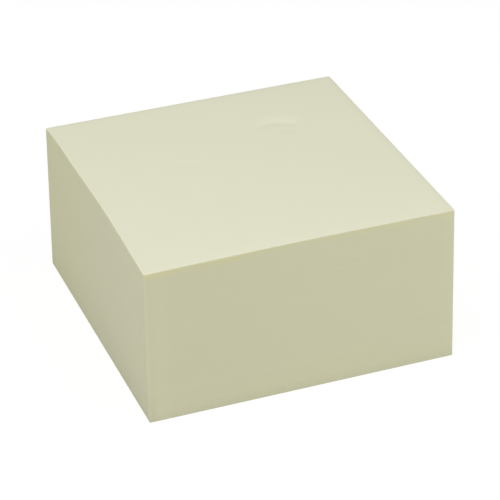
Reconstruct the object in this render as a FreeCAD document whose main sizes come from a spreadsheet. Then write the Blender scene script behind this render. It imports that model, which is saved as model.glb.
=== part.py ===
import FreeCAD, Part
import os
from math import pi

import Sketcher
from FreeCAD import Placement, Rotation, Vector

# Pad of square paper notes on a backing sheet, in millimetres. +Z is up, +X runs along the
# glued edge and +Y from the glued edge to the free edge. The origin is the middle of the foot.

# Each driving dimension: its name, its value as the text of a cell, and what it measures.
DIMENSIONS = [
    ("note_width", "76", "side of a note along its glued edge"),
    ("note_depth", "76", "side of a note from its glued edge to its free edge"),
    ("note_count", "400", "notes in the pad"),
    ("note_thickness", "0.0964", "one note, clear of its adhesive"),
    ("gum_thickness", "0.0024", "what the adhesive adds to each note at the glued edge"),
    ("end_draw", "0.5", "how far the glued and free cut faces lean in from foot to top"),
    ("right_draw", "0.53", "how far the right cut face leans in from foot to top"),
    ("left_draw", "0.3", "how far the left cut face leans in at its back, plumb at its front"),
    ("left_hollow", "0.7", "how far the middle of the top note's left edge is drawn in"),
    ("corner_radius", "0.35", "softened upright corners of the cut notes"),
    ("backing_thickness", "0.1", "release-coated sheet under the last note"),
]

# Lengths that follow from the driving dimensions, as formulas for the document.
HALF_WIDTH = "Sizes.note_width / 2"
HALF_DEPTH = "Sizes.note_depth / 2"
GUM_RISE = "(Sizes.note_count * Sizes.gum_thickness)"
TOP_REACH = "(Sizes.note_depth - 2 * Sizes.end_draw)"
TOP_HALF_DEPTH = f"sqrt({TOP_REACH}^2 + {GUM_RISE}^2) / 2"
TOP_TILT = f"-atan({GUM_RISE} / {TOP_REACH})"
TOP_MIDDLE_HEIGHT = (
    "Sizes.backing_thickness"
    " + Sizes.note_count * (Sizes.note_thickness + Sizes.gum_thickness / 2)"
)
# The hollow side is an arc that meets a round corner, of its own radius, at each end.
HALF_CHORD_SQUARED = (
    f"(({TOP_HALF_DEPTH} - Sizes.corner_radius)^2 + (Sizes.left_draw / 2)^2)"
)
HOLLOW_RADIUS = (
    f"({HALF_CHORD_SQUARED} + Sizes.left_hollow^2) / (2 * Sizes.left_hollow)"
    " - Sizes.corner_radius"
)

# How far each side of a note's outline lies from the middle of the pad.
FULL_NOTE = {
    "front": HALF_DEPTH,
    "back": HALF_DEPTH,
    "right": HALF_WIDTH,
    "left_front": HALF_WIDTH,
    "left_back": HALF_WIDTH,
}
TOP_NOTE = {
    "front": TOP_HALF_DEPTH,
    "back": TOP_HALF_DEPTH,
    "right": f"{HALF_WIDTH} - Sizes.right_draw",
    "left_front": HALF_WIDTH,
    "left_back": f"{HALF_WIDTH} - Sizes.left_draw",
}

START, END, CENTRE = 1, 2, 3
ORIGIN = (-1, 1)


def make_sizes(document):
    """The sheet of driving dimensions, one row each: name, value, meaning."""
    sheet = document.addObject("Spreadsheet::Sheet", "Sizes")
    for row, (name, value, meaning) in enumerate(DIMENSIONS, start=1):
        sheet.set(f"A{row}", name)
        sheet.set(f"B{row}", value)
        sheet.set(f"C{row}", meaning)
        sheet.setAlias(f"B{row}", name)
    document.recompute()
    return sheet


def level_sketch(body, name):
    """A sketch on the body's own level plane."""
    level = next(f for f in body.Origin.OriginFeatures if f.Role == "XY_Plane")
    sketch = body.newObject("Sketcher::SketchObject", name)
    sketch.AttachmentSupport = (level, [""])
    sketch.MapMode = "FlatFace"
    return sketch


def bind(sketch, name, constraint, formula):
    """Add a named dimension to a sketch and tie it to the sheet."""
    index = sketch.addConstraint(constraint)
    sketch.renameConstraint(index, name)
    sketch.setExpression(f"Constraints.{name}", formula)


def draw_note(sketch, sheet, reaches, hollow_radius=None):
    """The outline of a cut note, with its corners rounded.

    The reaches say how far each side lies from the sketch's origin: front and back as one, right,
    and left at its front end and at its back end. The left side is straight, or an arc that bends
    into the note where a radius is given.
    """
    x = sheet.get("note_width") / 2
    y = sheet.get("note_depth") / 2
    bend = sheet.get("left_hollow")
    radius = sheet.get("corner_radius")
    inner_x = x - radius
    inner_y = y - radius

    def side(x1, y1, x2, y2):
        return sketch.addGeometry(Part.LineSegment(Vector(x1, y1, 0), Vector(x2, y2, 0)))

    def corner(centre_x, centre_y, quarter):
        circle = Part.Circle(Vector(centre_x, centre_y, 0), Vector(0, 0, 1), radius)
        from_angle = quarter * pi / 2
        return sketch.addGeometry(Part.ArcOfCircle(circle, from_angle, from_angle + pi / 2))

    front = side(-inner_x, -y, inner_x, -y)
    front_right = corner(inner_x, -inner_y, -1)
    right = side(x, -inner_y, x, inner_y)
    back_right = corner(inner_x, inner_y, 0)
    back = side(inner_x, y, -inner_x, y)
    back_left = corner(-inner_x, inner_y, 1)
    if hollow_radius is None:
        left = side(-x, -inner_y, -x, inner_y)
    else:
        near_end, middle, far_end = (-x, -inner_y), (bend - x, 0), (-x, inner_y)
        left = sketch.addGeometry(Part.Arc(*(Vector(*p, 0) for p in (near_end, middle, far_end))))
    front_left = corner(-inner_x, -inner_y, 2)

    # Each side runs smoothly into the corner after it. The left side runs from front to back.
    joints = [
        (front, END, front_right, START),
        (front_right, END, right, START),
        (right, END, back_right, START),
        (back_right, END, back, START),
        (back, END, back_left, START),
        (back_left, END, left, END),
        (left, START, front_left, START),
        (front_left, END, front, START),
    ]
    for joint in joints:
        sketch.addConstraint(Sketcher.Constraint("Tangent", *joint))
    for level in (front, back):
        sketch.addConstraint(Sketcher.Constraint("Horizontal", level))
    sketch.addConstraint(Sketcher.Constraint("Vertical", right))
    for other in (front_right, back_right, back_left):
        sketch.addConstraint(Sketcher.Constraint("Equal", front_left, other))
    rounding = Sketcher.Constraint("Radius", front_left, radius)
    bind(sketch, "rounding", rounding, "Sizes.corner_radius")

    # Each corner's centre lies inside its two sides by the corner's radius.
    places = {
        "front": ("DistanceY", (front_right, CENTRE), ORIGIN, inner_y),
        "back": ("DistanceY", ORIGIN, (back_right, CENTRE), inner_y),
        "right": ("DistanceX", ORIGIN, (back_right, CENTRE), inner_x),
        "left_front": ("DistanceX", (front_left, CENTRE), ORIGIN, inner_x),
        "left_back": ("DistanceX", (back_left, CENTRE), ORIGIN, inner_x),
    }
    for name, (kind, low, high, first) in places.items():
        distance = Sketcher.Constraint(kind, *low, *high, first)
        bind(sketch, name, distance, f"{reaches[name]} - Sizes.corner_radius")
    if hollow_radius is not None:
        hollow = Sketcher.Constraint("Radius", left, sketch.Geometry[left].Radius)
        bind(sketch, "hollow", hollow, hollow_radius)


def make_backing_sheet(document, sheet):
    """The release-coated sheet that the pad stands on, cut to the size of the notes."""
    body = document.addObject("PartDesign::Body", "backing_sheet")
    body.Label = "backing_sheet"
    outline = level_sketch(body, "backing_outline")
    draw_note(outline, sheet, FULL_NOTE)
    pad = body.newObject("PartDesign::Pad", "backing")
    pad.Profile = outline
    pad.setExpression("Length", "Sizes.backing_thickness")
    return body


def make_note_stack(document, sheet):
    """All the notes as one solid.

    The foot is a full note. The top note is a little smaller, because the cut leans in, and it
    slopes down from the glued edge to the free edge, because each note is thicker at its gum.
    """
    body = document.addObject("PartDesign::Body", "note_stack")
    body.Label = "note_stack"

    foot = level_sketch(body, "foot_outline")
    foot.setExpression("AttachmentOffset.Base.z", "Sizes.backing_thickness")
    draw_note(foot, sheet, FULL_NOTE)

    # The turn about X has its angle bound. It starts at one degree so that its axis is kept.
    top = level_sketch(body, "top_outline")
    top.AttachmentOffset = Placement(Vector(0, 0, 0), Rotation(Vector(1, 0, 0), -1))
    top.setExpression("AttachmentOffset.Base.z", TOP_MIDDLE_HEIGHT)
    top.setExpression("AttachmentOffset.Rotation.Angle", TOP_TILT)
    draw_note(top, sheet, TOP_NOTE, HOLLOW_RADIUS)

    stack = body.newObject("PartDesign::AdditiveLoft", "cut_stack")
    stack.Profile = foot
    stack.Sections = [top]
    stack.Ruled = True
    return body


def check(document, bodies):
    """Stop unless every object computed and every piece is one valid solid."""
    for item in document.Objects:
        if "Invalid" in item.State or "Error" in item.State:
            raise RuntimeError(f"{item.Name} did not compute: {item.State}")
    for body in bodies:
        shape = body.Shape
        if shape.isNull() or not shape.isValid() or len(shape.Solids) != 1:
            raise RuntimeError(f"{body.Label} is not one valid solid")


def main():
    """Build the pad and write one STEP file for each piece."""
    document = FreeCAD.newDocument("sticky_note_pad")
    sheet = make_sizes(document)
    bodies = [make_backing_sheet(document, sheet), make_note_stack(document, sheet)]
    document.recompute()
    check(document, bodies)
    os.makedirs("parts", exist_ok=True)
    for body in bodies:
        box = body.Shape.BoundBox
        print(
            f"{body.Label}: {box.XLength:.3f} x {box.YLength:.3f} x {box.ZLength:.3f} mm,"
            f" z {box.ZMin:.3f} to {box.ZMax:.3f}, {body.Shape.Volume / 1000:.3f} cm3"
        )
        body.Shape.exportStep(f"parts/{body.Label}.step")


main()
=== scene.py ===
"""A sticky note pad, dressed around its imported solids.

Lengths are in metres. +Z is up, +X runs along the glued edge and +Y from the glued edge to the
free edge. The pad stands on z = 0, and the middle of its foot is the origin.
"""

from __future__ import annotations

import logging
import math
import random
from dataclasses import dataclass
from enum import Enum
from functools import reduce

import bmesh
import bpy
from bmesh.types import BMEdge, BMesh, BMVert
from bpy.types import Material, Node, NodeSocket, NodeTree, Object
from mathutils import Matrix, Vector, noise


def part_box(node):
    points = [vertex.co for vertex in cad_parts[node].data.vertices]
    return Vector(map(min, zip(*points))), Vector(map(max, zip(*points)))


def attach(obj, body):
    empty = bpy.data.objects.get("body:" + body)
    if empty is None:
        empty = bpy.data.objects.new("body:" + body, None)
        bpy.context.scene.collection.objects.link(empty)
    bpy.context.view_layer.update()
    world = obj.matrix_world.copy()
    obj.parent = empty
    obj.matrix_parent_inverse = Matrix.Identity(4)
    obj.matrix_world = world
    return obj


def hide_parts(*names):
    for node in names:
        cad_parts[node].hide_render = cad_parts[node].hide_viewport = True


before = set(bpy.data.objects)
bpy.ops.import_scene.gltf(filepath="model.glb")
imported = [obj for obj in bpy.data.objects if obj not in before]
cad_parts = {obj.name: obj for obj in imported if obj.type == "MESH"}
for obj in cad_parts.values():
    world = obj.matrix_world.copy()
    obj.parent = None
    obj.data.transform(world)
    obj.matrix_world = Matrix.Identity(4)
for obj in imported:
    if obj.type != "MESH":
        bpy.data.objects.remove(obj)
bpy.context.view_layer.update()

LOG = logging.getLogger("note_pad")
MM = 0.001
BAKE_MAP = "OFBake"

# What each vertex carries: the number of its note, and the highlight or shade painted on the paper there.
SHEET = "sheet"
PAINTED_TONE = "painted_tone"

# The angle between two faces above which the edge between them stays sharp, in degrees.
CREASE_ANGLE = 40

# To how many digits two sides are compared when a normal may look towards both alike.
ALIKE_DIGITS = 3

# The sockets of a colour Mix node are taken by number, because its other kinds share their names.
MIX_FIRST, MIX_SECOND, MIX_RESULT = 6, 7, 2

WHITE = (1.0, 1.0, 1.0, 1.0)

Colour = Triple = tuple[float, float, float]
Sockets = bpy.types.bpy_prop_collection


class Side(Enum):
    """The six ways that a face of the pad can look."""

    FRONT = (0, -1, 0)
    RIGHT = (1, 0, 0)
    BACK = (0, 1, 0)
    LEFT = (-1, 0, 0)
    TOP = (0, 0, 1)
    FOOT = (0, 0, -1)

    @classmethod
    def of(cls, normal: Vector) -> Side:
        """The side that a normal looks towards most, and the first of two that are alike."""
        return max(cls, key=lambda side: round(normal.dot(Vector(side.value)), ALIKE_DIGITS))


UPRIGHT_SIDES = (Side.FRONT, Side.RIGHT, Side.BACK, Side.LEFT)


class Graph:
    """The nodes of one material or node group, with short ways to add and join them."""

    def __init__(self, tree: NodeTree) -> None:
        """Start from an empty tree."""
        self.tree = tree
        tree.nodes.clear()

    def join(self, value: object, socket: NodeSocket) -> None:
        """Feed a socket from an output, or give it a value.

        Args:
            value: the output or the value.
            socket: the socket.
        """
        if isinstance(value, NodeSocket):
            self.tree.links.new(value, socket)
        else:
            socket.default_value = value

    def add(self, kind: str, inputs: dict | None = None, **settings: object) -> Node:
        """Add a node.

        Args:
            kind: the node's type, without the leading ShaderNode.
            inputs: a value or an output for each input, by name or number.
            **settings: the node's own settings.

        Returns:
            The node.
        """
        node = self.tree.nodes.new(kind if kind.startswith("NodeGroup") else f"ShaderNode{kind}")
        for name, value in settings.items():
            setattr(node, name, value)
        for name, value in (inputs or {}).items():
            self.join(value, node.inputs[name])
        return node

    def math(self, operation: str, *values: object) -> NodeSocket:
        """The result of a Math node, whose inputs are given in order as numbers or outputs."""
        return self.add("Math", dict(enumerate(values)), operation=operation).outputs[0]

    def product(self, *values: object) -> NodeSocket:
        """The product of several numbers or outputs."""
        return reduce(lambda first, second: self.math("MULTIPLY", first, second), values)

    def ramp(
        self, value: object, low: float, high: float, to_low: float = 0.0, to_high: float = 1.0
    ) -> NodeSocket:
        """A smooth step: to_low where the value is up to low, and to_high where it is past high."""
        inputs = dict(enumerate((value, low, high, to_low, to_high)))
        return self.add("MapRange", inputs, interpolation_type="SMOOTHSTEP").outputs[0]

    def noise(self, where: object, scale: object, detail: float = 2.0) -> NodeSocket:
        """Smooth noise from about -1 to 1, with as many lumps to a unit as its scale says."""
        height = self.add("TexNoise", {"Vector": where, "Scale": scale, "Detail": detail}).outputs[0]
        return self.math("MULTIPLY_ADD", height, 2.0, -1.0)

    def stretch(self, where: object, factors: Triple) -> NodeSocket:
        """Coordinates multiplied by a factor along each axis."""
        return self.add("VectorMath", {0: where, 1: factors}, operation="MULTIPLY").outputs[0]

    def shade(self, colour: object, tone: object) -> NodeSocket:
        """A colour multiplied by a tone, which is over 1 to make it lighter."""
        return self.add("VectorMath", {0: colour, "Scale": tone}, operation="SCALE").outputs[0]

    def blend(self, share: object, first: object, second: object) -> NodeSocket:
        """A mix of two colours.

        Args:
            share: how much of the second colour shows, from 0 to 1.
            first: the first colour or its output.
            second: the second colour or its output.

        Returns:
            The output with the mix.
        """
        node = self.add("Mix", {"Factor": share}, data_type="RGBA", blend_type="MIX")
        for number, value in ((MIX_FIRST, first), (MIX_SECOND, second)):
            opaque = (*value, 1.0) if isinstance(value, tuple) else value
            self.join(opaque, node.inputs[number])
        return node.outputs[MIX_RESULT]

    def finish(
        self, colour: object, roughness: object, shine: float, relief: object, depth: float
    ) -> None:
        """End a material in its shader.

        Args:
            colour: the output with the colour.
            roughness: the roughness or its output.
            shine: the specular level.
            relief: the output with the height of the surface, from 0 to 1.
            depth: how far that height reaches, in metres.
        """
        bump = self.add("Bump", {"Distance": depth, "Height": relief})
        inputs = {
            "Base Color": colour,
            "Roughness": roughness,
            "Specular IOR Level": shine,
            "Normal": bump.outputs[0],
        }
        shader = self.add("BsdfPrincipled", inputs)
        self.add("OutputMaterial", {"Surface": shader.outputs[0]})


def start_material(name: str) -> tuple[Material, Graph]:
    """Start a material.

    Args:
        name: its name.

    Returns:
        The material and its empty graph.
    """
    material = bpy.data.materials.new(name)
    material.use_nodes = True
    return material, Graph(material.node_tree)


def make_group(
    name: str, inputs: tuple[str, ...], outputs: tuple[str, ...]
) -> tuple[Graph, Sockets, Sockets]:
    """Start a shader node group, whose sockets are numbers but for the one named Vector.

    Args:
        name: the group's name.
        inputs: the names of what it takes.
        outputs: the names of what it gives.

    Returns:
        The group's graph, what it is given, and the sockets for its results.
    """
    tree = bpy.data.node_groups.new(name, "ShaderNodeTree")
    for end, sockets in (("INPUT", inputs), ("OUTPUT", outputs)):
        for socket in sockets:
            kind = "Vector" if socket == "Vector" else "Float"
            tree.interface.new_socket(socket, in_out=end, socket_type=f"NodeSocket{kind}")
    graph = Graph(tree)
    return graph, graph.add("NodeGroupInput").outputs, graph.add("NodeGroupOutput").inputs


class Effects:
    """The node groups that the paper finishes share."""

    # How many times longer than thick a fibre is, and where in its noise it starts and ends to rise.
    FIBRE_SLIMNESS = 5.0
    FIBRE_RISE = (-0.5, 0.8)

    # How far the noise of the batches moves on from sheet to sheet, and over a metre of a side.
    BATCH_STEP = 0.09
    BATCH_DRIFT = 18.0

    def __init__(self) -> None:
        """Build each group once."""
        self.paper_fibre = self.make_paper_fibre()
        self.sheet_lines = self.make_sheet_lines()

    def make_paper_fibre(self) -> NodeTree:
        """Matted fibres: pale clouds where the pulp lies thicker, and fine crossed hairs.

        Returns:
            The group. It gives a tone about 1 and a height from 0 to 1.
        """
        inputs = ("Vector", "Cloud width", "Cloud tone", "Fibre length", "Fibre tone")
        graph, given, results = make_group("paper_fibre", inputs, ("Tone", "Height"))
        where = given["Vector"]
        clouds = graph.noise(where, graph.math("DIVIDE", 1.0, given["Cloud width"]), detail=3.0)
        per_length = graph.math("DIVIDE", 1.0, given["Fibre length"])
        slim = self.FIBRE_SLIMNESS
        along = graph.noise(graph.stretch(where, (1.0, slim, slim)), per_length, detail=1.0)
        across = graph.noise(graph.stretch(where, (slim, 1.0, slim)), per_length, detail=1.0)
        hairs = graph.math("MAXIMUM", along, across)
        cloud_tone = graph.math("MULTIPLY_ADD", clouds, given["Cloud tone"], 1.0)
        tone = graph.math("MULTIPLY_ADD", hairs, given["Fibre tone"], cloud_tone)
        graph.join(tone, results["Tone"])
        graph.join(graph.ramp(hairs, *self.FIBRE_RISE), results["Height"])
        return graph.tree

    def make_sheet_lines(self) -> NodeTree:
        """The cut edges of a stack: a tone of its own for each sheet, and the gaps between them.

        Returns:
            The group. The fraction of the sheet's number runs through its thickness. It gives a
            tone about 1, a mask of the gaps and a height from 0 to 1.
        """
        inputs = ("Sheet", "Vector", "Sheet tone", "Batch tone", "Gap width")
        graph, given, results = make_group("sheet_lines", inputs, ("Tone", "Gap", "Height"))
        number = graph.math("FLOOR", given["Sheet"])
        random_tone = graph.add("TexWhiteNoise", {"W": number}, noise_dimensions="1D").outputs["Value"]
        centred = graph.math("SUBTRACT", random_tone, 0.5)
        own_tone = graph.math("MULTIPLY_ADD", centred, given["Sheet tone"], 1.0)

        # Batches are many sheets that took the knife alike, and they fade in and out along a side.
        step = graph.math("MULTIPLY", number, self.BATCH_STEP)
        batch_place = graph.add("CombineXYZ", {"X": step}).outputs[0]
        along = graph.stretch(given["Vector"], (self.BATCH_DRIFT, self.BATCH_DRIFT, 0.0))
        drift = graph.add("VectorMath", {0: along, 1: batch_place}, operation="ADD").outputs[0]
        batches = graph.noise(drift, 1.0)
        tone = graph.math("MULTIPLY_ADD", batches, given["Batch tone"], own_tone)

        # The gap is where the fraction comes near 0 or 1.
        fraction = graph.math("FRACT", given["Sheet"])
        to_edge = graph.math("MINIMUM", fraction, graph.math("SUBTRACT", 1.0, fraction))
        nearness = graph.math("DIVIDE", to_edge, given["Gap width"])
        gap = graph.ramp(nearness, 0.0, 1.0, 1.0, 0.0)
        crown = graph.math("SQRT", graph.math("MULTIPLY", to_edge, 2.0))
        for name, result in (("Tone", tone), ("Gap", gap), ("Height", crown)):
            graph.join(result, results[name])
        return graph.tree


@dataclass(frozen=True)
class Fibres:
    """How the fibres of a paper show.

    Attributes:
        cloud_width: how wide its clouds are.
        cloud_tone: how much the tone wanders from cloud to cloud.
        length: how long a fibre is.
        tone: how much the tone changes from fibre to fibre.
    """

    cloud_width: float = 9 * MM
    cloud_tone: float = 0.006
    length: float = 1.1 * MM
    tone: float = 0.008

    def draw(self, graph: Graph, effects: Effects, where: NodeSocket) -> Sockets:
        """Place the group of the fibres in a material.

        Args:
            graph: the material's graph.
            effects: the shared node groups.
            where: the output with the coordinates.

        Returns:
            The group's outputs, Tone and Height.
        """
        inputs = {
            "Vector": where,
            "Cloud width": self.cloud_width,
            "Cloud tone": self.cloud_tone,
            "Fibre length": self.length,
            "Fibre tone": self.tone,
        }
        return graph.add("Group", inputs, node_tree=effects.paper_fibre).outputs


@dataclass(frozen=True)
class Paper:
    """Uncoated paper, seen on its face.

    Attributes:
        name: the material's name.
        colour: its linear colour.
        roughness: its roughness between the fibres and on them.
        shine: its specular level.
        fibre_height: how far the fibres stand up, in metres.
        fibres: how they show.
    """

    name: str
    colour: Colour
    roughness: tuple[float, float] = (0.78, 0.92)
    shine: float = 0.25
    fibre_height: float = 0.004 * MM
    fibres: Fibres = Fibres()

    def make(self, effects: Effects) -> Material:
        """Build the material.

        Args:
            effects: the shared node groups.

        Returns:
            The material.
        """
        material, graph = start_material(self.name)
        fibre = self.fibres.draw(graph, effects, graph.add("TexCoord").outputs["Object"])
        # The top notes carry their painted highlight and shade in an attribute, added to the fibres'
        # tone.
        painted_tone = graph.add("Attribute", attribute_name=PAINTED_TONE).outputs["Fac"]
        colour = graph.shade(self.colour, graph.math("ADD", fibre["Tone"], painted_tone))
        roughness = graph.ramp(fibre["Height"], 0.0, 1.0, *self.roughness)
        graph.finish(colour, roughness, self.shine, fibre["Height"], self.fibre_height)
        return material


@dataclass(frozen=True)
class EdgePlace:
    """Where a point of the cut edges is, as outputs in their material.

    Attributes:
        graph: the material's graph.
        pad: the pad's form.
        where: the coordinates.
        axes: the coordinates by axis.
        sheet: the number of the sheet.
    """

    graph: Graph
    pad: PadShape
    where: NodeSocket
    axes: Sockets
    sheet: NodeSocket

    def on_glued_side(self) -> NodeSocket:
        """The output that is 1 on the glued side and 0 past its corners."""
        inmost = self.pad.end_draw - self.pad.half_depth
        return self.graph.ramp(self.axes["Y"], inmost, inmost + self.pad.corner_radius, 1.0, 0.0)


@dataclass(frozen=True)
class CutEdges:
    """The knife-cut edges of the whole stack of notes.

    Attributes:
        name: the material's name.
        colour: the linear colour of the cut paper on the other sides.
        free_colour: its linear colour near the free side, where it has yellowed.
        glued_colour: its linear colour on the glued side.
        band_colour: its linear colour in a yellower band under the top note.
        yellowing: where the yellow begins and is full, back from the middle of the pad.
        band_reach: how far down from the top note the band colour reaches and is full, in sheets.
        band_patch: how far apart the strong and faint stretches of the band lie.
        band_spread: how far the band's lumps rise or fall until it is strong or faint.
        band_least: how much of the band colour shows on a faint stretch.
        band_lean: how much stronger the band is towards the left end.
        band_ends: how much stronger it is at both ends.
        band_highlight: the painted highlight on the band's topmost sheets, and how many sheets deep.
        side_band: how much of the band colour shows away from the glued side.
        sheet_tone: how much the tone changes from sheet to sheet.
        batch_tone: how much it changes from batch to batch.
        gap_width: a gap's half width, as a share of a note's thickness.
        gap_tones: the tone of a gap at the glued side, and at the free side, which nothing holds.
        foot_shade: painted shade along the foot, darker towards the floor, and how many sheets up that
            reaches.
        left_foot_shade: painted shade along the foot of the left side, and how many sheets up that
            reaches.
        corner: the painted highlight on the upright corner at the left end of the glued side, and its
            reach.
        end: the painted highlight on the glued side near that end, and its reach.
        edge_height: how far a sheet's edge swells out between its gaps.
        roughness: the roughness of the cut paper.
        shine: its specular level.
        fibres: how its fibres show.
    """

    name: str
    colour: Colour
    free_colour: Colour
    glued_colour: Colour
    band_colour: Colour
    yellowing: tuple[float, float] = (-6 * MM, 30 * MM)
    band_reach: tuple[float, float] = (24.0, 6.0)
    band_patch: float = 16 * MM
    band_spread: float = 0.4
    band_least: float = 0.3
    band_lean: float = 0.45
    band_ends: float = 0.5
    band_highlight: tuple[float, float] = (1.08, 6.0)
    side_band: float = 0.2
    sheet_tone: float = 0.022
    batch_tone: float = 0.009
    gap_width: float = 0.16
    gap_tones: tuple[float, float] = (0.9, 0.75)
    foot_shade: tuple[float, float] = (0.945, 30.0)
    left_foot_shade: tuple[float, float] = (0.955, 130.0)
    corner: tuple[float, float] = (1.08, 0.5 * MM)
    end: tuple[float, float] = (1.03, 8 * MM)
    edge_height: float = 0.004 * MM
    roughness: float = 0.9
    shine: float = 0.2
    fibres: Fibres = Fibres(cloud_width=22 * MM, length=0.5 * MM, tone=0.01)

    def make(self, effects: Effects, pad: PadShape) -> Material:
        """Build the material.

        Args:
            effects: the shared node groups.
            pad: the pad's form.

        Returns:
            The material.
        """
        material, graph = start_material(self.name)
        where = graph.add("TexCoord").outputs["Object"]
        axes = graph.add("SeparateXYZ", {0: where}).outputs
        sheet = graph.add("Attribute", attribute_name=SHEET).outputs["Fac"]
        place = EdgePlace(graph, pad, where, axes, sheet)
        line_inputs = {
            "Sheet": sheet,
            "Vector": where,
            "Sheet tone": self.sheet_tone,
            "Batch tone": self.batch_tone,
            "Gap width": self.gap_width,
        }
        lines = graph.add("Group", line_inputs, node_tree=effects.sheet_lines).outputs
        losses = (tone - 1 for tone in self.gap_tones)
        loss = graph.ramp(axes["Y"], -pad.half_depth, pad.half_depth, *losses)
        gaps = graph.math("MULTIPLY_ADD", lines["Gap"], loss, 1.0)
        fibre = self.fibres.draw(graph, effects, where)
        # The tone also carries painted shade at the foot and a painted highlight at the left end of the
        # glued side.
        tone = graph.product(lines["Tone"], fibre["Tone"], gaps, self.painted_shading(place))
        colour = graph.shade(self.banded(place), tone)
        graph.finish(colour, self.roughness, self.shine, lines["Height"], self.edge_height)
        return material

    def painted_shading(self, place: EdgePlace) -> NodeSocket:
        """The painted shade along the foot, deeper on the left side, and the painted highlight at the
        left end of the glued side.

        Args:
            place: where the point is.

        Returns:
            The output with the tone.
        """
        graph, pad = place.graph, place.pad
        # Painted shade along the foot of every side, darker towards the floor.
        foot_shade_tone, foot_shade_reach = self.foot_shade
        foot_shade = graph.ramp(place.sheet, 0.0, foot_shade_reach, foot_shade_tone, 1.0)
        # Painted shade, deeper and reaching higher, along the foot of the left side.
        deepest = pad.left_draw + pad.left_hollow
        near_left, off_left = deepest - pad.half_width, 2 * deepest - pad.half_width
        left = graph.ramp(place.axes["X"], near_left, off_left, 1.0, 0.0)
        left_foot_shade_tone, left_foot_shade_reach = self.left_foot_shade
        left_foot_shade_loss = graph.ramp(place.sheet, 0.0, left_foot_shade_reach, left_foot_shade_tone - 1, 0.0)
        left_foot_shade = graph.math("MULTIPLY_ADD", left, left_foot_shade_loss, 1.0)

        # The left end of the glued side leans with the stack, and its painted highlight leans too.
        lean = pad.lean_left / pad.front_height
        upright = graph.math("MULTIPLY_ADD", place.axes["Z"], lean, place.axes["X"])
        corner, end = (
            graph.ramp(upright, pad.corner_radius - pad.half_width, width - pad.half_width, tone - 1, 0.0)
            for tone, width in (self.corner, self.end)
        )
        glued_end_highlight = graph.math("MULTIPLY", place.on_glued_side(), graph.math("ADD", corner, end))
        return graph.product(foot_shade, left_foot_shade, graph.math("ADD", glued_end_highlight, 1.0))

    def banded(self, place: EdgePlace) -> NodeSocket:
        """The colour of the edges: yellowed at the free side, with a yellower band and its painted
        highlight under the top note.

        Args:
            place: where the point is.

        Returns:
            The output with the colour.
        """
        graph, top = place.graph, place.pad.sheet_count
        glued = place.on_glued_side()
        yellowed = graph.ramp(place.axes["Y"], *self.yellowing)
        flank = graph.blend(yellowed, self.colour, self.free_colour)
        paper = graph.blend(glued, flank, self.glued_colour)
        lumps = graph.noise(place.where, 1 / self.band_patch)
        along = graph.math("DIVIDE", place.axes["X"], place.pad.half_width)
        leaning = graph.math("MULTIPLY_ADD", along, -self.band_lean, lumps)
        at_ends = graph.product(along, along, along, along, self.band_ends)
        band = graph.math("ADD", leaning, at_ends)
        # How strongly the band shows, from its least share to full.
        thickness = graph.ramp(band, -self.band_spread, self.band_spread, self.band_least, 1.0)
        under_top = graph.ramp(place.sheet, *(top - reach for reach in self.band_reach))
        share = graph.product(thickness, under_top, graph.math("MAXIMUM", glued, self.side_band))
        # Painted highlight on the band's topmost sheets, just under the top note.
        band_highlight_tone, band_highlight_reach = self.band_highlight
        rim = graph.ramp(place.sheet, top - band_highlight_reach, top, 1.0, band_highlight_tone)
        return graph.blend(share, paper, graph.shade(self.band_colour, rim))


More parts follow.
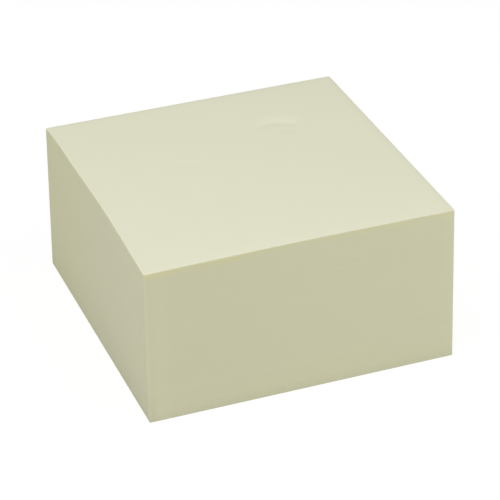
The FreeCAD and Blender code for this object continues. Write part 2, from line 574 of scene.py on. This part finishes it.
@dataclass(frozen=True)
class PadShape:
    """The form of the cut pad: a square stack whose sides lean in a little towards its top.

    Attributes:
        foot: the height of the first note's underside.
        front_height: the height of the top note at the glued edge.
        half_width: half of a note along the glued edge.
        half_depth: half of a note from the glued edge to the free edge.
        sheet_count: notes in the pad.
        top_notes: how many notes at the top take the marks pressed into it.
        gum_rise: how much higher the glued edge is than the free edge.
        end_draw: how far the glued and free faces lean in.
        right_draw: how far the right face leans in.
        left_draw: how far the left face leans in at its back.
        left_hollow: how far the left face is hollowed at the top.
        press_share: how much of the hollow is the press of a thumb, and not a long dip.
        press_place: where the press is, from 0 at the front to 1 at the back.
        press_width: how wide it is, as a share of the side.
        dip_powers: how steep the long dip is at its front end and at its back end.
        corner_radius: the softened upright corners.
        corner_steps: steps round each corner.
        lean_left: how far the topmost notes have slid to the left.
        lean_front: how far they have slid towards the glued side.
        crown: how far the glued edge of the top notes bows up.
        droop: how far that edge drops at its left end.
        bow_powers: how fast both die away back from the glued edge and down the stack.
    """

    foot: float
    front_height: float
    half_width: float
    half_depth: float
    sheet_count: int = 400
    top_notes: int = 4
    gum_rise: float = 0.96 * MM
    end_draw: float = 0.5 * MM
    right_draw: float = 0.53 * MM
    left_draw: float = 0.3 * MM
    left_hollow: float = 0.7 * MM
    press_share: float = 0.35
    press_place: float = 0.44
    press_width: float = 0.213
    dip_powers: tuple[float, float] = (2.19, 10.3)
    corner_radius: float = 0.35 * MM
    corner_steps: int = 3
    lean_left: float = 0.22 * MM
    lean_front: float = 0.14 * MM
    crown: float = 0.23 * MM
    droop: float = 0.26 * MM
    bow_powers: tuple[int, int] = (4, 8)

    def hollow(self, from_front: float) -> float:
        """How deep the left side is hollowed.

        Args:
            from_front: a place along the side, from 0 at its front to 1 at its back.

        Returns:
            The depth, as a share of the hollow's full depth.
        """
        from_middle = 2 * from_front - 1
        front_power, back_power = self.dip_powers
        dip = 1 - abs(from_middle) ** (back_power if from_middle > 0 else front_power)
        press = math.exp(-(((from_front - self.press_place) / self.press_width) ** 2))
        return (1 - self.press_share) * dip + self.press_share * press

    def point(self, across: float, back: float, level: float) -> Vector:
        """A point of the stack.

        Args:
            across: from -1 at the left side to 1 at the right side.
            back: from -1 at the glued side to 1 at the free side.
            level: from 0 at the foot to 1 at the top.

        Returns:
            The point.
        """
        from_front = (back + 1) / 2
        y = back * (self.half_depth - self.end_draw * level) - self.lean_front * level
        draw = self.left_draw * from_front + self.left_hollow * self.hollow(from_front)
        left = -self.half_width + (draw - self.lean_left) * level
        right = self.half_width - (self.right_draw + self.lean_left) * level
        x = left + (right - left) * (across + 1) / 2
        rise = self.front_height - self.gum_rise * from_front - self.foot
        bow = self.crown * math.cos(across * math.pi / 2) - self.droop * ((1 - across) / 2) ** 2
        back_power, down_power = self.bow_powers
        bow *= (1 - from_front) ** back_power * level**down_power
        return Vector((x, y, self.foot + rise * level + bow))


def round_corners(bm: BMesh, corners: list, affect: str, pad: PadShape) -> None:
    """Round the corners of a unit square or a unit block as those of the notes are.

    Args:
        bm: the mesh, which is changed.
        corners: its corner vertices or upright edges.
        affect: which of the two they are, VERTICES or EDGES.
        pad: the pad's form.
    """
    bmesh.ops.bevel(
        bm,
        geom=corners,
        offset=pad.corner_radius / pad.half_width,
        offset_type="OFFSET",
        segments=pad.corner_steps,
        profile=0.5,
        affect=affect,
        material=-1,
    )


def fan_wide_faces(bm: BMesh) -> None:
    """Divide each face of more than four corners from its middle, so that no sliver is left."""
    wide = [face for face in bm.faces if len(face.verts) > 4]
    bmesh.ops.poke(bm, faces=wide)


def finish_notes(bm: BMesh, name: str, *materials: Material) -> Object:
    """Make a piece of a finished mesh of notes, and join it to the frame.

    Args:
        bm: the mesh, which is freed.
        name: the piece's name.
        *materials: its materials.

    Returns:
        The piece.
    """
    bmesh.ops.recalc_face_normals(bm, faces=bm.faces[:])
    mesh = bpy.data.meshes.new(name)
    bm.to_mesh(mesh)
    bm.free()
    for material in materials:
        mesh.materials.append(material)
    mesh.shade_smooth()
    mesh.set_sharp_from_angle(angle=math.radians(CREASE_ANGLE))
    piece = bpy.data.objects.new(name, mesh)
    bpy.context.scene.collection.objects.link(piece)
    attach(piece, "root")
    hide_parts("note_stack")
    return piece


@dataclass
class NoteBlock:
    """All the notes under the topmost few, with one ring of the mesh for each of them.

    Attributes:
        pad: the pad's form.
        columns: quads along each side of a ring.
        loose: how far a note is shifted from its neighbours, as a standard deviation.
        wander: how far the stack wanders over many notes.
        wander_notes: how many notes the wander takes.
        seed: the seed of the shifts.
        strip_width: the width on the bake map of each side's strip.
        strip_pitch: how far one strip lies from the next.
        cap_width: the width there of the hidden caps at the foot and the top.
        foot_cap: how far up the foot's cap lies.
    """

    pad: PadShape
    columns: int = 24
    loose: float = 0.0018 * MM
    wander: float = 0.010 * MM
    wander_notes: float = 45.0
    seed: int = 11
    strip_width: float = 0.23
    strip_pitch: float = 0.24
    cap_width: float = 0.03
    foot_cap: float = 0.5

    def build(self) -> BMesh:
        """Shape the block.

        Returns:
            Its mesh, in place.
        """
        bm = bmesh.new()
        bmesh.ops.create_cube(bm, size=2.0)
        round_corners(bm, self.upright_edges(bm), "EDGES", self.pad)
        level = [edge for edge in bm.edges if self.is_long_and_level(edge)]
        bmesh.ops.subdivide_edges(bm, edges=level, cuts=self.columns - 1)
        notes = self.pad.sheet_count - self.pad.top_notes
        bmesh.ops.subdivide_edges(bm, edges=self.upright_edges(bm), cuts=notes - 1)
        fan_wide_faces(bm)
        self.map_faces(bm)
        self.place(bm)
        return bm

    @staticmethod
    def upright_edges(bm: BMesh) -> list[BMEdge]:
        """The edges that run from the foot of the unit block to its top."""
        return [edge for edge in bm.edges if abs(edge.verts[0].co.z - edge.verts[1].co.z) > 1]

    @staticmethod
    def is_long_and_level(edge: BMEdge) -> bool:
        """Whether an edge of the unit block runs along a side, at the foot or the top."""
        start, end = (vertex.co for vertex in edge.verts)
        return abs(start.z - end.z) < 0.5 and (start - end).length > 1

    def map_faces(self, bm: BMesh) -> None:
        """Lay the unit block's sides in strips side by side on the bake map, and its caps beside.

        Args:
            bm: the unit block.
        """
        uv = bm.loops.layers.uv.new(BAKE_MAP)
        bm.normal_update()
        for face in bm.faces:
            side = Side.of(face.normal)
            for loop in face.loops:
                x, y, z = loop.vert.co
                if side in UPRIGHT_SIDES:
                    along = {Side.FRONT: x, Side.RIGHT: y, Side.BACK: -x, Side.LEFT: -y}[side]
                    start = UPRIGHT_SIDES.index(side) * self.strip_pitch
                    loop[uv].uv = (start + (along + 1) / 2 * self.strip_width, (z + 1) / 2)
                else:
                    start = len(UPRIGHT_SIDES) * self.strip_pitch
                    up = self.foot_cap if side is Side.FOOT else 0.0
                    u = start + (x + 1) / 2 * self.cap_width
                    loop[uv].uv = (u, up + (y + 1) / 2 * self.cap_width)

    def place(self, bm: BMesh) -> None:
        """Bring the unit block to its form, with each note shifted a little.

        Args:
            bm: the unit block, which is changed.
        """
        draws = random.Random(self.seed)
        noise.seed_set(self.seed)
        last = self.pad.sheet_count - self.pad.top_notes
        shifts = []
        for number in range(last + 1):
            slow = noise.noise_vector(Vector((number / self.wander_notes, 0, self.seed)))
            along, back = (draws.gauss(0, self.loose) for _ in range(2))
            shifts.append(Vector((along, back, 0)) + Vector((slow.x, slow.y, 0)) * self.wander)
        sheet = bm.verts.layers.float.new(SHEET)
        for vertex in bm.verts:
            across, back, height = vertex.co
            number = round((height + 1) / 2 * last)
            vertex[sheet] = number
            vertex.co = self.pad.point(across, back, number / self.pad.sheet_count)
            if 0 < number < last:
                vertex.co += shifts[number]

    def make(self, cut_edges: Material) -> Object:
        """Build the piece, finished as cut edges all over."""
        return finish_notes(self.build(), "note_block", cut_edges)


@dataclass(frozen=True)
class Dent:
    """A dent pressed into the top notes, with a line along its deepest part.

    Attributes:
        line: points that the line runs through from left to right, across and back, in millimetres.
        depth: how deep the line lies.
        back_width: the half width of its wall on the free side.
        front_width: the half width of its wall on the glued side.
        light_tone: the painted highlight on the back wall, which faces the light, below zero for painted
            shade.
        shade_tone: the painted shade on the front wall, which faces away from the light.
        fades: how far from its left end and its right end the dent grows to its full depth.
        end_share: how wide its walls still are at its ends, as a share of their full width.
    """

    line: tuple[tuple[float, float], ...]
    depth: float
    back_width: float
    front_width: float
    light_tone: float = 0.0
    shade_tone: float = 0.0
    fades: tuple[float, float] = (2.5 * MM, 2.5 * MM)
    end_share: float = 1.0

    def is_near(self, place: Vector, margin: float) -> bool:
        """Whether a place lies in the box round the line, or nearer to it than a margin."""
        spans = zip(zip(*self.line), place.xy)
        return all(min(span) * MM - margin < at < max(span) * MM + margin for span, at in spans)

    def press(self, place: Vector) -> tuple[float, float]:
        """What the dent does to the note at a place.

        Args:
            place: the place, of which X and Y count.

        Returns:
            How deep the note is pressed there, and the highlight or shade painted on its wall, above zero
            where it is paler.
        """
        points = [Vector(point) * MM for point in self.line]
        runs = [end - start for start, end in zip(points, points[1:])]
        length = sum(run.length for run in runs)
        nearest, along, passed = math.inf, 0.0, 0.0
        for start, run in zip(points, runs):
            share = min(max((place.xy - start).dot(run) / run.length_squared, 0), 1)
            offset = place.xy - start - run * share
            if offset.length < abs(nearest):
                nearest = math.copysign(offset.length, run.cross(offset))
                along = passed + run.length * share
            passed += run.length
        left_fade, right_fade = self.fades
        faded = min(along / left_fade, (length - along) / right_fade, 1.0)
        fading = faded * faded * (3 - 2 * faded)
        width, tone = (self.back_width, self.light_tone) if nearest > 0 else (self.front_width, self.shade_tone)
        wall = nearest / (width * (self.end_share + (1 - self.end_share) * fading))
        bell = fading * math.exp(-wall * wall)

        # A wall is steepest, and its painted highlight or shade strongest, where the bell's slope is.
        return self.depth * bell, tone * wall * bell * math.sqrt(2 * math.e)


@dataclass
class TopNotes:
    """The note on top and the few under it, with the marks pressed into them.

    Attributes:
        pad: the pad's form.
        dents: the marks.
        cells: quads along each side of the face.
        dent_cuts: how often the face is divided again round the marks.
        dent_margin: how far round the marks that reaches.
        dent_reach: how far from a mark's line nothing of it is left.
        wave: how far the face rises and falls over its width.
        wave_length: the width of one such wave.
        seed: the seed of the waves.
        light_tone: the painted highlight along the face's glued edge, and how far from it that falls off.
        shade_tone: the painted shade along its free and right edges, and how far from them.
        face_width: the width of the face on the bake map.
        strip_height: the height there of each side's strip, above the face.
        strip_pitch: how far one strip lies from the next.
        underside_width: the width of the underside, beside the face.
    """

    pad: PadShape
    dents: tuple[Dent, ...]
    cells: int = 200
    dent_cuts: int = 1
    dent_margin: float = 2.5 * MM
    dent_reach: float = 9 * MM
    wave: float = 0.03 * MM
    wave_length: float = 28 * MM
    seed: int = 5
    light_tone: tuple[float, float] = (0.025, 3.5 * MM)
    shade_tone: tuple[float, float] = (0.065, 0.8 * MM)
    face_width: float = 0.96
    strip_height: float = 0.004
    strip_pitch: float = 0.008
    underside_width: float = 0.02

    def build(self) -> BMesh:
        """Shape the notes.

        Returns:
            Their mesh, in place.
        """
        bm = bmesh.new()
        bmesh.ops.create_grid(bm, x_segments=self.cells, y_segments=self.cells, size=1.0)
        corners = [vertex for vertex in bm.verts if len(vertex.link_edges) == 2]
        round_corners(bm, corners, "VERTICES", self.pad)
        near_dents = [edge for edge in bm.edges if self.is_near_dent(edge)]
        bmesh.ops.subdivide_edges(bm, edges=near_dents, cuts=self.dent_cuts, use_grid_fill=True)
        for _ in range(self.pad.top_notes):
            made = bmesh.ops.extrude_edge_only(bm, edges=self.rim(bm))["geom"]
            lower = [item for item in made if isinstance(item, BMVert)]
            bmesh.ops.translate(bm, verts=lower, vec=(0, 0, -1))
        bmesh.ops.contextual_create(bm, geom=self.rim(bm))
        fan_wide_faces(bm)
        bmesh.ops.recalc_face_normals(bm, faces=bm.faces[:])
        self.map_faces(bm)
        self.place(bm)
        return bm

    @staticmethod
    def rim(bm: BMesh) -> list[BMEdge]:
        """The edges round the mesh's opening."""
        return [edge for edge in bm.edges if edge.is_boundary]

    def is_near_dent(self, edge: BMEdge) -> bool:
        """Whether the middle of an edge of the unit notes lies near one of the marks."""
        middle = (edge.verts[0].co + edge.verts[1].co) / 2 * self.pad.half_width
        return any(dent.is_near(middle, self.dent_margin) for dent in self.dents)

    def map_faces(self, bm: BMesh) -> None:
        """Lay the unit notes' face, rim and underside in the bake map.

        Args:
            bm: the unit notes, each one unit thick, with their face at height 0.
        """
        uv = bm.loops.layers.uv.new(BAKE_MAP)
        for face in bm.faces:
            side = Side.of(face.normal)
            face.material_index = 1 if side in UPRIGHT_SIDES else 0
            for loop in face.loops:
                x, y, z = loop.vert.co
                if side is Side.TOP:
                    place = ((x + 1) / 2 * self.face_width, (y + 1) / 2 * self.face_width)
                elif side is Side.FOOT:
                    start = 1 - self.underside_width
                    place = (start + (x + 1) / 2 * self.underside_width, (y + 1) / 2 * self.face_width)
                else:
                    along = x if side in (Side.FRONT, Side.BACK) else y
                    level = 1 - (UPRIGHT_SIDES.index(side) + 1) * self.strip_pitch
                    up = 1 + z / self.pad.top_notes
                    place = ((along + 1) / 2 * self.face_width, level + up * self.strip_height)
                loop[uv].uv = place

    def place(self, bm: BMesh) -> None:
        """Bring the unit notes to their form, with their face waved and dented.

        Args:
            bm: the unit notes, which are changed.
        """
        sheet = bm.verts.layers.float.new(SHEET)
        painted_tone = bm.verts.layers.float.new(PAINTED_TONE)
        for vertex in bm.verts:
            across, back, height = vertex.co
            vertex[sheet] = self.pad.sheet_count + height
            vertex.co = self.pad.point(across, back, vertex[sheet] / self.pad.sheet_count)
            if round(height) == 0:
                inside = (1 - across**4) * (1 - back**4)
                wave = noise.noise(Vector((vertex.co.x, vertex.co.y, self.seed)) / self.wave_length)
                near = [dent for dent in self.dents if dent.is_near(vertex.co, self.dent_reach)]
                presses = [dent.press(vertex.co) for dent in near]
                # The painted highlight and shade at the face's edges and on the dents' walls.
                vertex[painted_tone] = self.painted_edge_tone(vertex.co) + sum(paler for _, paler in presses)
                vertex.co.z += self.wave * wave * inside - sum(depth for depth, _ in presses)

    def painted_edge_tone(self, place: Vector) -> float:
        """The painted highlight near the face's glued edge and painted shade near its free and right
        edges.

        Args:
            place: a place on the face.

        Returns:
            The change of its tone, below zero where it is darker.
        """
        top_depth = self.pad.half_depth - self.pad.end_draw
        right_edge = self.pad.half_width - self.pad.right_draw - self.pad.lean_left
        from_middle = place.y + self.pad.lean_front
        to_shaded = min(top_depth - from_middle, right_edge - place.x)
        (light_tone, light_width), (shade_tone, shade_width) = self.light_tone, self.shade_tone
        paler = light_tone * math.exp(-(top_depth + from_middle) / light_width)
        return paler - shade_tone * math.exp(-to_shaded / shade_width)

    def make(self, face: Material, cut_edges: Material) -> Object:
        """Build the piece, with one finish for its face and one for its rim."""
        return finish_notes(self.build(), "top_notes", face, cut_edges)


@dataclass(frozen=True, kw_only=True)
class Onlooker:
    """Something that stands round the pad and looks at it.

    Attributes:
        azimuth: how far round to the right of the front it stands, in degrees.
        elevation: how far up it stands, in degrees.
        distance: how far it stands from the point that it looks at.
        aim: that point.
        roll: how far it is turned clockwise, in degrees.
    """

    azimuth: float
    elevation: float
    distance: float = 0.8
    aim: Triple = (0.0, 0.0, 20 * MM)
    roll: float = 0.0

    def stand(self, name: str, data: bpy.types.ID) -> Object:
        """Set up its object.

        Args:
            name: the object's name.
            data: the light or camera that it holds.

        Returns:
            The object.
        """
        round_by, up_by = math.radians(self.azimuth), math.radians(self.elevation)
        level = Vector((math.sin(round_by), -math.cos(round_by), 0))
        back = level * math.cos(up_by) + Vector((0, 0, math.sin(up_by)))
        place = Matrix.Translation(Vector(self.aim) + back * self.distance)
        turn = (-back).to_track_quat("-Z", "Y").to_matrix().to_4x4()
        item = bpy.data.objects.new(name, data)
        item.matrix_world = place @ turn @ Matrix.Rotation(math.radians(-self.roll), 4, "Z")
        bpy.context.scene.collection.objects.link(item)
        return item


@dataclass(frozen=True)
class Lamp(Onlooker):
    """A square soft light.

    Attributes:
        name: its name.
        power: its power in watts.
        width: its side.
    """

    name: str
    power: float
    width: float = 0.4

    def make(self) -> None:
        """Set the lamp up."""
        light = bpy.data.lights.new(self.name, "AREA")
        light.shape = "SQUARE"
        light.size = self.width
        light.energy = self.power
        self.stand(self.name, light)


@dataclass(frozen=True)
class Viewpoint(Onlooker):
    """The camera, which stands where the photo was taken from.

    Attributes:
        lens: its focal length in millimetres.
        sensor_width: the width of its sensor in millimetres.
        clip: how near and how far it sees.
    """

    azimuth: float = -20.73
    elevation: float = 31.04
    distance: float = 589.5 * MM
    aim: Triple = (0.53 * MM, -1.68 * MM, 17.14 * MM)
    roll: float = 0.558
    lens: float = 175.99
    sensor_width: float = 36.0
    clip: tuple[float, float] = (0.01, 50.0)

    def make(self) -> None:
        """Set the scene's camera up."""
        data = bpy.data.cameras.new("camera")
        data.lens = self.lens
        data.sensor_width = self.sensor_width
        data.clip_start, data.clip_end = self.clip
        bpy.context.scene.camera = self.stand("camera", data)


@dataclass
class Studio:
    """A pale floor and soft light.

    Attributes:
        pad_width: the side of the pad.
        floor_width: the side of the floor.
        floor_drop: how far the floor lies under the pad, so that no two faces share a plane.
        floor_overlap: how far it reaches in under the pad's edges.
        floor_bounce: how much light the floor sends back to the pad.
        lit_strength: the floor's own strength where the lamps light it in full.
        lit_reach: how far from the pad's middle that is, and where their light is lost.
        shadow_share: how much of the pad's shadow the camera sees on the floor.
        sky: the strength of the light from all round.
        lamps: the soft lamps.
    """

    pad_width: float
    floor_width: float = 8.0
    floor_drop: float = 0.01 * MM
    floor_overlap: float = 0.05 * MM
    floor_bounce: float = 0.607
    lit_strength: float = 1.03
    lit_reach: tuple[float, float] = (0.25, 0.8)
    shadow_share: float = 0.12
    sky: float = 0.3
    lamps: tuple[Lamp, ...] = (
        Lamp("right_lamp", azimuth=45, elevation=55, power=0.670, distance=0.5, width=0.3),
        Lamp("low_lamp", azimuth=45, elevation=12, power=1.725),
        Lamp("left_lamp", azimuth=-90, elevation=25, power=0.768, distance=0.6, width=0.35),
        Lamp("high_lamp", azimuth=-60, elevation=65, power=0.465, distance=0.38, width=0.25),
        Lamp("back_lamp", azimuth=180, elevation=12, power=1.2),
    )

    @staticmethod
    def seen_directly(graph: Graph) -> NodeSocket:
        """Whether a ray shows the background itself, straight, mirrored or through glass.

        Args:
            graph: the graph of the floor or the sky.

        Returns:
            The output, which is 1 for such a ray.
        """
        path = graph.add("LightPath").outputs
        mirrored = graph.math("MAXIMUM", path["Is Glossy Ray"], path["Is Transmission Ray"])
        return graph.math("MAXIMUM", path["Is Camera Ray"], mirrored)

    def make_floor_finish(self) -> Material:
        """Build the floor's material: white from above with a faint shadow, and clear from below.

        Returns:
            The material.
        """
        material, graph = start_material("pale_floor")
        lit = graph.add("BsdfDiffuse", {"Color": WHITE}).outputs[0]

        # The floor is white all over: by itself where no lamp reaches, with their light near the pad.
        where = graph.add("TexCoord").outputs["Object"]
        away = graph.add("VectorMath", {0: where}, operation="LENGTH").outputs["Value"]
        alone = 1 / (1 - self.shadow_share)
        strength = graph.ramp(away, *self.lit_reach, self.lit_strength, alone)
        white = graph.add("Emission", {"Strength": strength}).outputs[0]
        seen = graph.add("MixShader", {0: self.shadow_share, 1: white, 2: lit}).outputs[0]
        bounce = (self.floor_bounce,) * 3
        unseen = graph.add("BsdfDiffuse", {"Color": (*bounce, 1.0)}).outputs[0]
        above = graph.add("MixShader", {0: self.seen_directly(graph), 1: unseen, 2: seen}).outputs[0]

        # From below it is clear, so that the pad's underside can be looked at.
        below = graph.add("BsdfTransparent").outputs[0]
        backfacing = graph.add("NewGeometry").outputs["Backfacing"]
        surface = graph.add("MixShader", {0: backfacing, 1: above, 2: below})
        graph.add("OutputMaterial", {"Surface": surface.outputs[0]})
        return material

    def make_floor(self) -> None:
        """Lay the floor, which is open under the pad so that light reaches its underside."""
        bm = bmesh.new()
        bmesh.ops.create_grid(bm, x_segments=1, y_segments=1, size=self.floor_width / 2)
        bmesh.ops.translate(bm, verts=bm.verts[:], vec=(0, 0, -self.floor_drop))
        margin = (self.floor_width - self.pad_width) / 2 + self.floor_overlap
        under = bm.faces[:]
        bmesh.ops.inset_region(bm, faces=under, thickness=margin, use_boundary=True, use_even_offset=True)
        bmesh.ops.delete(bm, geom=under, context="FACES")
        mesh = bpy.data.meshes.new("floor")
        bm.to_mesh(mesh)
        bm.free()
        mesh.materials.append(self.make_floor_finish())
        floor = bpy.data.objects.new("floor", mesh)
        bpy.context.scene.collection.objects.link(floor)

    def make_sky(self) -> None:
        """Light the scene evenly from all round, in front of a white background."""
        world = bpy.data.worlds.new("sky")
        world.use_nodes = True
        graph = Graph(world.node_tree)
        light = graph.add("Background", {"Color": WHITE, "Strength": self.sky}).outputs[0]
        white = graph.add("Background", {"Color": WHITE, "Strength": 1.0}).outputs[0]
        surface = graph.add("MixShader", {0: self.seen_directly(graph), 1: light, 2: white})
        graph.add("OutputWorld", {"Surface": surface.outputs[0]})
        bpy.context.scene.world = world

    def make(self) -> None:
        """Set up the floor, the sky and the lamps."""
        self.make_floor()
        self.make_sky()
        for lamp in self.lamps:
            lamp.make()
        bpy.context.scene.view_settings.view_transform = "Standard"


NOTE_FACE = Paper("note_face", colour=(0.752, 0.747, 0.576))
NOTE_EDGES = CutEdges(
    "note_edges",
    colour=(0.745, 0.736, 0.527),
    free_colour=(0.755, 0.743, 0.499),
    glued_colour=(0.745, 0.736, 0.511),
    band_colour=(0.770, 0.745, 0.460),
)
BACKING = Paper("release_sheet", colour=(0.73, 0.725, 0.52), roughness=(0.5, 0.6), shine=0.4)

# A round mark near the back right corner with a short line beside it, and a faint mark further left, each
# with painted highlight and shade on its walls.
MARK_TIP = Dent(
    line=(
        (8.5, 16.6), (10.2, 17.5), (11.8, 18.2), (13.5, 18.8),
        (15.5, 18.8), (17.4, 18.0), (18.8, 16.7), (19.8, 15.3),
    ),
    depth=0.3 * MM,
    back_width=2.3 * MM,
    front_width=1.4 * MM,
    light_tone=0.034,
    shade_tone=0.018,
    fades=(7 * MM, 2.2 * MM),
    end_share=0.5,
)
MARK_HEEL = Dent(
    line=((14.0, 14.5), (15.5, 14.0), (17.0, 13.2), (18.6, 12.2)),
    depth=0.06 * MM,
    back_width=0.7 * MM,
    front_width=0.7 * MM,
    light_tone=-0.01,
    shade_tone=0.034,
    fades=(1.2 * MM, 1.2 * MM),
)
FAINT_MARK = Dent(
    line=((-16.2, 8.0), (-13.4, 7.4), (-10.7, 6.5), (-8.4, 5.8)),
    depth=0.05 * MM,
    back_width=1.4 * MM,
    front_width=1.4 * MM,
    light_tone=0.008,
    shade_tone=0.008,
)


def dress_backing(effects: Effects) -> Object:
    """Give the backing sheet its finish.

    Args:
        effects: the shared node groups.

    Returns:
        The sheet.
    """
    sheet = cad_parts["backing_sheet"]
    finish = BACKING.make(effects)
    if not sheet.data.materials:
        sheet.data.materials.append(finish)
    for slot in sheet.material_slots:
        slot.material = finish
    return sheet


def main() -> None:
    """Build the pad and its studio, and report each piece."""
    logging.basicConfig(level=logging.INFO, format="%(name)s %(message)s")
    stack_low, stack_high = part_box("note_stack")
    pad = PadShape(
        foot=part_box("backing_sheet")[1].z,
        front_height=stack_high.z,
        half_width=(stack_high.x - stack_low.x) / 2,
        half_depth=(stack_high.y - stack_low.y) / 2,
    )
    effects = Effects()
    cut_edges = NOTE_EDGES.make(effects, pad)
    top_notes = TopNotes(pad, dents=(MARK_TIP, MARK_HEEL, FAINT_MARK))
    pieces = (
        NoteBlock(pad).make(cut_edges),
        top_notes.make(NOTE_FACE.make(effects), cut_edges),
        dress_backing(effects),
    )
    for piece in pieces:
        mesh = piece.data
        LOG.info("%s: %d vertices, %d faces", piece.name, len(mesh.vertices), len(mesh.polygons))
    Studio(pad_width=2 * pad.half_width).make()
    Viewpoint().make()


if __name__ == "__main__":
    main()
